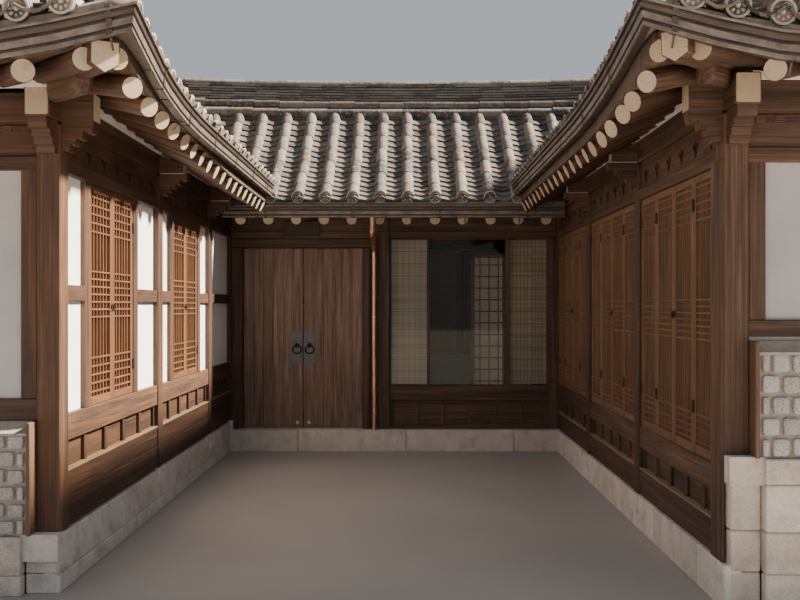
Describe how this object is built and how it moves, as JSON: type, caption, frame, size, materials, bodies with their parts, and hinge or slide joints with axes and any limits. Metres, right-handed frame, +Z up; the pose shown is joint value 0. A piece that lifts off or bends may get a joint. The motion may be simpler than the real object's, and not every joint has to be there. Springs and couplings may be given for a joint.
{
  "type": "courtyard house front",
  "caption": "Timber courtyard house: two tiled wings with upturned eaves and a lower gate range around a small court, with a double plank gate and lattice windows.",
  "frame": {"origin": "underside of the gate range's stone base, on the middle line of the court, at the front column line", "axes": "+Z up, +Y from the street through the court to the back, +X to the right of a viewer in the street"},
  "size_m": [10.8062, 10.6128, 4.9888],
  "materials": {
    "timber": "oiled pine, weathered",
    "gate_planks": "dark stained planks",
    "lattice": "oiled lattice with papered ground",
    "plaster": "lime plaster",
    "granite": "dressed granite and cobble in mortar",
    "tile": "grey fired clay tiles",
    "gutter_metal": "dark brown sheet metal",
    "copper": "copper sheet",
    "iron": "blackened iron",
    "glass": "clear pane",
    "blind": "woven reed blind"
  },
  "bodies": {
    "house": {"left_stone_base": "granite", "left_frame": "timber", "left_floor": "timber", "left_court_wall": "plaster", "left_street_wall": "plaster", "left_outer_wall": "plaster", "left_back_wall": "plaster", "left_outer_window": "lattice", "left_roof_deck": "tile", "left_rafters": "timber", "left_gables_and_ridge_beam": "plaster", "left_ridges": "tile", "left_gutter": "gutter_metal", "right_stone_base": "granite", "right_frame": "timber", "right_floor": "timber", "right_court_wall": "timber", "right_street_wall": "plaster", "right_outer_wall": "plaster", "right_back_wall": "plaster", "right_outer_window": "lattice", "right_roof_deck": "tile", "right_rafters": "timber", "right_gables_and_ridge_beam": "plaster", "right_ridges": "tile", "right_gutter": "gutter_metal", "left_window_1": "lattice", "left_window_2": "lattice", "right_folding_doors_1": "lattice", "right_folding_doors_2": "lattice", "right_folding_doors_3": "lattice", "gate_range_stone_base": "granite", "gate_range_frame": "timber", "gate_range_back_wall": "plaster", "back_window": "lattice", "gate_range_floor": "timber", "gate_frame": "timber", "board_over_gate": "timber", "window_frame": "timber", "window_glass": "glass", "window_left_blind": "blind", "window_right_blind": "blind", "window_dado": "timber", "room_screen": "lattice", "gate_range_roof_deck": "tile", "gate_range_ridge": "tile", "gate_range_front_rafters": "timber", "gate_range_back_rafters": "timber", "gate_range_front_gutter": "gutter_metal", "gate_range_back_gutter": "gutter_metal", "downpipe": "copper"},
    "gate_left_leaf": {"gate_left_leaf": "gate_planks", "gate_left_ring_plate": "iron"},
    "gate_right_leaf": {"gate_right_leaf": "gate_planks", "gate_right_ring_plate": "iron"}
  },
  "joints": [
    {"name": "gate_left_hinge", "type": "hinge", "parent": "house", "child": "gate_left_leaf", "pos_m": [-1.832, 0.06, 1.36], "axis": [0, 0, 1], "range_deg": [0, 95]},
    {"name": "gate_right_hinge", "type": "hinge", "parent": "house", "child": "gate_right_leaf", "pos_m": [-0.382, 0.06, 1.36], "axis": [0, 0, -1], "range_deg": [0, 95]}
  ]
}
